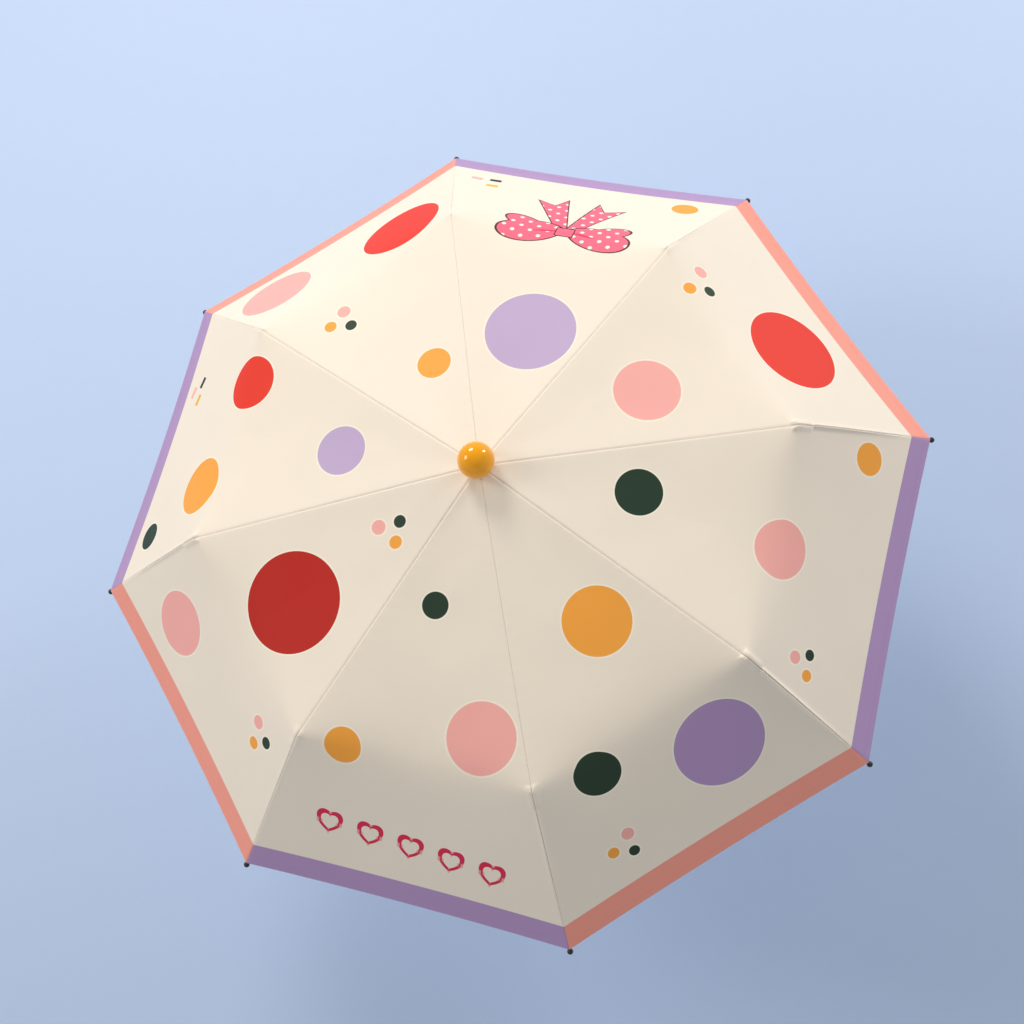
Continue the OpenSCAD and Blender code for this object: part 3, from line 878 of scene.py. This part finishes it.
@dataclass
class RibDress:
    """What is bound to the ribs: thread ties up to the cloth, and the middle ribs' pull wires."""

    form: CanopyForm
    thread_r: float = 0.15
    winds: int = 6
    wire_r: float = 0.45
    channel: float = 3.0
    ties: dict[Zone, tuple[float, ...]] = field(default_factory=lambda: {
        Zone.INNER: (40.0, 137.0), Zone.MIDDLE: (74.0,), Zone.OUTER: (58.0, 118.0)})
    webs: dict[Zone, float] = field(default_factory=lambda: {
        Zone.INNER: -0.4, Zone.MIDDLE: -0.4, Zone.OUTER: 3.4})
    cloth_over: dict[Zone, float] = field(default_factory=lambda: {
        Zone.INNER: 1.7, Zone.MIDDLE: 1.7, Zone.OUTER: 3.8})

    def build(self) -> list[bpy.types.Object]:
        """Builds the ties of every rib section and the pull wire of every middle rib."""
        # waxed cotton thread
        thread = Finish("tie_thread", "#D9CDB8", 0.75, grain_mm=0.3, grain_depth_mm=0.02).build()
        # hard-drawn steel wire, blackened
        wire = Finish("pull_wire_steel", "#2B2B2E", 0.36, metallic=0.7, grain_mm=0.5).build()
        made = []
        for rib in range(1, RIBS + 1):
            for zone in Zone:
                slope = math.atan(-self.form.slopes[zone is Zone.OUTER])
                place = RibPlace(rib, zone, slope)
                made.append(self.tie(place, thread))
                if zone is Zone.MIDDLE:
                    made.append(self.pull_wire(place, wire))
        return made

    def tie(self, place: RibPlace, finish: bpy.types.Material) -> bpy.types.Object:
        """Winds thread round a rib and up to the seam, at each tying point of the section.

        Args:
            place: the rib section.
            finish: the thread's material.

        Returns:
            The ties, as one piece.
        """
        half, web = self.channel / 2 + self.thread_r + 0.05, self.webs[place.zone]
        low, high = web - self.channel - self.thread_r - 0.05, self.cloth_over[place.zone]
        turns = np.linspace(0, 2 * math.pi, 18, endpoint=False)
        y = np.clip(np.cos(turns) * half * 1.3, -half, half)
        z = (low + high) / 2 + np.clip(np.sin(turns) * 1.15, -1, 1) * (high - low) / 2
        parts = []
        for at in self.ties[place.zone]:
            for wind in range(self.winds):
                x = at + (wind - (self.winds - 1) / 2) * 2.1 * self.thread_r
                path = np.stack([np.full_like(y, x), y, z], -1)
                parts.append(tube(path, np.array([1.0, 0, 0]), self.thread_r, closed=True))
        parts = [(place.world(points), faces) for points, faces in parts]
        piece = joined(f"ties_{place.body}", parts, finish)
        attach(piece, place.body)
        middle = place.world(np.array([self.ties[place.zone][0], 0, web - self.channel / 2]))
        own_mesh(piece)
        return piece

    def pull_wire(self, place: RibPlace, finish: bpy.types.Material) -> bpy.types.Object:
        """Lays a wire beside a middle rib, hooked in at both ends and held by two clips.

        Args:
            place: the middle rib's section.
            finish: the wire's material.

        Returns:
            The wire and its clips, as one piece.
        """
        y, z = -self.channel / 2 - self.wire_r - 0.12, self.webs[place.zone] - self.channel / 2
        start, end = 12.0, 139.0
        path = np.array([[start, y + 1.2, z], [start, y + 0.3, z], [start + 0.3, y, z]]
                        + [[x, y, z] for x in np.linspace(start + 8, end - 8, 12)]
                        + [[end - 0.3, y, z], [end, y + 0.3, z], [end, y + 1.2, z]])
        parts = [tube(path, np.array([0, 0, 1.0]), self.wire_r, sides=10)]
        for x in (42.0, 108.0):
            turns = np.linspace(0, 2 * math.pi, 24, endpoint=False)
            reach = self.channel / 2 + 0.1
            sides = np.clip(np.cos(turns) * 1.35, -1, 1) * reach
            sides = sides + np.minimum(np.cos(turns), 0) * 2.2 * self.wire_r
            height = z + np.clip(np.sin(turns) * 1.35, -1, 1) * reach
            path = np.stack([np.full_like(sides, x), sides, height], -1)
            for shift in (-1.2, -0.6, 0.0, 0.6, 1.2):
                parts.append(tube(path + [shift, 0, 0], np.array([1.0, 0, 0]), 0.3, closed=True))
        parts = [(place.world(points), faces) for points, faces in parts]
        piece = joined(f"pull_wire_{place.rib}", parts, finish)
        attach(piece, place.body)
        return piece


@dataclass
class FrameLook:
    """The finishes of the CAD nodes that stay in sight."""

    def dress(self) -> int:
        """Gives every shown CAD node its finish and returns how many there are."""
        # moulded plastic, high gloss: ball and handle
        gloss = Finish("yellow_gloss_plastic", "#FFAE00", 0.1, coat=0.2, grain_mm=9, grain_depth_mm=0.02,
                       grain_rough=0.03, shade=0.03).build()
        # nickel-plated steel tube, drawn and lightly brushed along its length
        shaft = Finish("shaft_steel", "#C9CACC", 0.24, metallic=1.0, grain_mm=0.4, grain_depth_mm=0.004,
                       grain_rough=0.06, stretch=(1, 1, 0.02)).build()
        # zinc-plated steel wire
        wire = Finish("wire_steel", "#AFB2B5", 0.34, metallic=1.0, grain_mm=0.6).build()
        # moulded black nylon with a fine texture
        nylon = Finish("black_plastic", "#1B1B1D", 0.42, grain_mm=0.5, grain_depth_mm=0.01).build()
        # rolled steel channel under black baked lacquer
        lacquer = Finish("black_rib_steel", "#17171A", 0.3, coat=0.35, grain_mm=1.4, grain_depth_mm=0.006).build()
        rules = (
            (("handle_", "ferrule_ball"), gloss), (("lower_tube", "middle_tube", "upper_tube"), shaft),
            (("crown_wire", "link_wire"), wire), (("top_rib", "strut", "middle_rib", "outer_rib"), lacquer),
            (("crown", "runner", "canopy_washer", "middle_tube_collar", "upper_tube_collar"), nylon))
        done = 0
        for name, node in frame["nodes"].items():
            if name.startswith("canopy_panel"):
                continue
            found = nylon if name.endswith("collar") else next(m for starts, m in rules if name.startswith(starts))
            node.data.materials.clear()
            node.data.materials.append(found)
            done += 1
        return done


# ---- studio ----


@dataclass(frozen=True)
class SoftBox:
    """A rectangular lamp: its direction in degrees, power in watts and size in metres."""

    name: str
    azimuth: float
    height: float
    power: float
    size: tuple[float, float] = (0.9, 0.9)
    away: float = 3.0


@dataclass
class Studio:
    """A pale floor, soft boxes, a pale surround and the camera."""

    boxes: tuple[SoftBox, ...] = (
        SoftBox("left", 165, 38, 20), SoftBox("key", 105, 38, 37), SoftBox("side", 34, 20, 31, (0.5, 0.9)))
    surround: float = 0.45
    wall: float = 0.8
    warm: str = "#FFF6EA"
    middle: Vector = field(default_factory=lambda: Vector((0, 0, 0.48)))
    camera_at: Vector = field(default_factory=lambda: Vector((0.18135, -0.50841, 1.84734)))
    look: Vector = field(default_factory=lambda: Vector((-0.1130, 0.3298, -0.9373)))
    up: Vector = field(default_factory=lambda: Vector((0.1810, 0.9343, 0.3070)))
    lens: float = 51.94
    floor_half: float = 15000.0

    def hang(self, box: SoftBox) -> None:
        """Adds a soft box that faces the umbrella."""
        a, e = math.radians(box.azimuth), math.radians(box.height)
        way = Vector((math.cos(a) * math.cos(e), math.sin(a) * math.cos(e), math.sin(e)))
        lamp = bpy.data.lights.new(box.name, "AREA")
        lamp.shape, (lamp.size, lamp.size_y) = "RECTANGLE", box.size
        lamp.energy, lamp.color = box.power, linear(self.warm)[:3]
        made = bpy.data.objects.new(box.name, lamp)
        turn = way.to_track_quat("Z", "Y").to_matrix().to_4x4()
        made.matrix_world = Matrix.Translation(self.middle + way * box.away) @ turn
        bpy.context.scene.collection.objects.link(made)

    def build(self) -> None:
        """Sets up floor, light and camera."""
        scene = bpy.context.scene
        ends = ((-1, -1), (1, -1), (1, 1), (-1, 1))
        corners = np.array([[x * self.floor_half, y * self.floor_half, 0] for x, y in ends])
        floor = mesh_object("floor", corners, [(0, 1, 2, 3)])
        # painted studio floor
        floor.data.materials.append(Finish("studio_floor", "#BFD7FF", 0.6, grain_mm=40, grain_depth_mm=0.02,
                                           shade=0.01).build())
        world = bpy.data.worlds.new("surround")
        world.use_nodes = True
        tree = world.node_tree
        back = tree.nodes["Background"]
        back.inputs["Color"].default_value = linear("#F2EFE8")
        way = add_node(tree, "ShaderNodeTexCoord").outputs["Generated"]
        height = add_node(tree, "ShaderNodeSeparateXYZ", {0: way}).outputs["Z"]
        # a pale wall all round, and a dimmer ceiling
        glow = add_node(tree, "ShaderNodeMapRange", {
            "Value": height, "From Min": 0.02, "From Max": 0.45, "To Min": self.wall, "To Max": self.surround})
        tree.links.new(glow.outputs[0], back.inputs["Strength"])
        scene.world = world
        for box in self.boxes:
            self.hang(box)
        scene.view_settings.view_transform = "Standard"
        lens = bpy.data.cameras.new("camera")
        lens.lens, lens.sensor_width = self.lens, 36.0
        camera = bpy.data.objects.new("camera", lens)
        right = self.look.cross(self.up).normalized()
        turn = Matrix((right, right.cross(self.look), -self.look)).transposed()
        camera.matrix_world = Matrix.Translation(self.camera_at) @ turn.to_4x4()
        scene.collection.objects.link(camera)
        scene.camera = camera


def gore_prints() -> tuple[GorePrint, ...]:
    """The prints of the eight gores, in the ribs' order.

    Nearly all the places, and most of the sizes, are a scratch program's output, rounded.

    Returns:
        One set of prints for each gore.
    """
    p = Prints
    return (
        GorePrint(p.CORAL, (Dot(-31, 356, 51, p.RED), Dot(-11, 181, 33, p.PINK))
                  + trio((81, 306), (67, 280), (57, 300), p.GREEN)),
        GorePrint(p.PURPLE, (Dot(-111, 400, 14.5, p.ORANGE), Dot(-6, 160, 46, p.LAVENDER)),
                  (Dash(126, 402, p.PINK, 2), Dash(105, 404, p.BLACK, -4), Dash(104, 387, p.YELLOW, -4)),
                  bow=(-4, 295)),
        GorePrint(p.CORAL, (Dot(-67, 339, 47, p.RED), Dot(86, 372, 43, p.PINK), Dot(-17, 132, 17.5, p.ORANGE))
                  + trio((33, 251), (53, 242), (34, 230), p.GREEN)),
        GorePrint(p.PURPLE, (Dot(3, 151, 26, p.LAVENDER), Dot(-59, 282, 29, p.RED), Dot(56, 315, 32, p.ORANGE),
                             Dot(109, 399, 15, p.GREEN)),
                  (Dash(-62, 412, p.PINK, 15), Dash(-72, 396, p.BLACK, 20), Dash(-51, 394, p.YELLOW, 15))),
        # this gore's big red dot takes the darker red, painted shade over the print's red
        GorePrint(p.CORAL, (Dot(2, 227, 50.5, p.DEEP_RED), Dot(-70, 371, 34, p.PINK))
                  + trio((-9, 115), (14, 108), (-1, 94), p.GREEN)
                  + trio((75, 331), (86, 353), (97, 335), p.GREEN)),
        GorePrint(p.PURPLE, (Dot(-12, 138, 13, p.GREEN), Dot(59, 249, 34, p.PINK), Dot(-72, 286, 18, p.ORANGE)),
                  hearts=(2, 386, 5)),
        GorePrint(p.CORAL, (Dot(17, 184, 33, p.ORANGE), Dot(55, 347, 45, p.PURPLE), Dot(-57, 305, 23, p.GREEN))
                  + trio((-63, 379), (-84, 389), (-66, 399), p.GREEN, 5.8)),
        GorePrint(p.PURPLE, (Dot(118, 381, 16.5, p.ORANGE), Dot(-4, 298, 29, p.PINK), Dot(13, 153, 23, p.GREEN))
                  + trio((-99, 340), (-112, 358), (-92, 357), p.GREEN, 5.8)),
    )


def main() -> None:
    """Builds the umbrella's looks and the studio."""
    logging.basicConfig(level=logging.INFO, format="%(name)s: %(message)s")
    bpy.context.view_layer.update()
    canopy = Canopy(CanopyForm(), gore_prints())
    cloth = canopy.build()
    LOG.info("canopy: %d pieces, rows %s", len(cloth), canopy.form.rows)
    bound = RibDress(canopy.form).build()
    LOG.info("ribs: %d bound pieces", len(bound))
    LOG.info("frame: %d CAD nodes dressed", FrameLook().dress())
    Studio().build()
    LOG.info("triangles: %d", sum(len(p.vertices) - 2 for o in cloth + bound for p in o.data.polygons))


if __name__ == "__main__":
    main()
